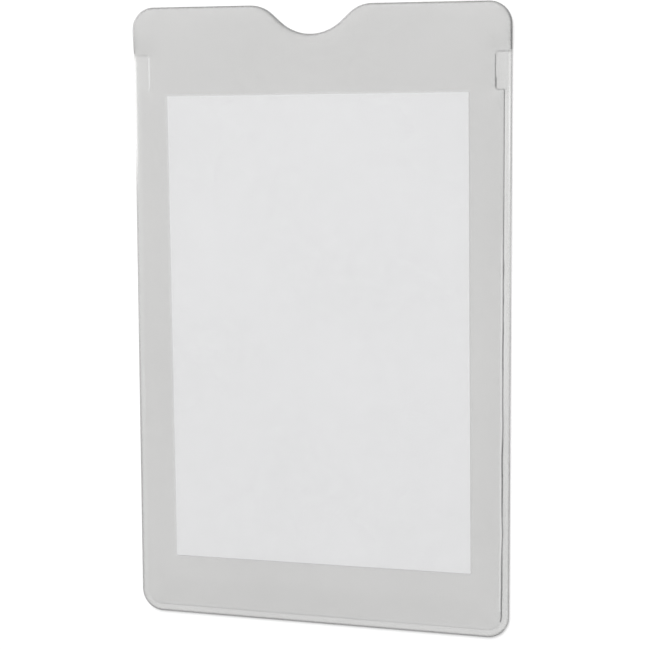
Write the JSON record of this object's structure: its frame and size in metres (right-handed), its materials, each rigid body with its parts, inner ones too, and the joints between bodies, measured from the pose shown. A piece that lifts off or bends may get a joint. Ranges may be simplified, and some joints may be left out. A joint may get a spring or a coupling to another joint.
{
  "type": "vinyl file jacket",
  "caption": "Clear vinyl file jacket, welded on the sides and bottom and open at the top with a thumb notch, holding a plain white card; it protects the card and keeps it readable.",
  "frame": {"origin": "centre of the jacket's outline, on its underside", "axes": "+X runs across the jacket, +Y up it to the open mouth with the thumb notch, +Z out of its front face; it lies flat on its back"},
  "size_m": [0.127, 0.202, 0.0015],
  "materials": {
    "vinyl_film": "clear, slightly hazy, soft gloss",
    "white_card": "matte, plain white"
  },
  "bodies": {
    "root": {"back_sheet": "vinyl_film", "front_sheet": "vinyl_film", "insert_card": "white_card"}
  },
  "joints": []
}
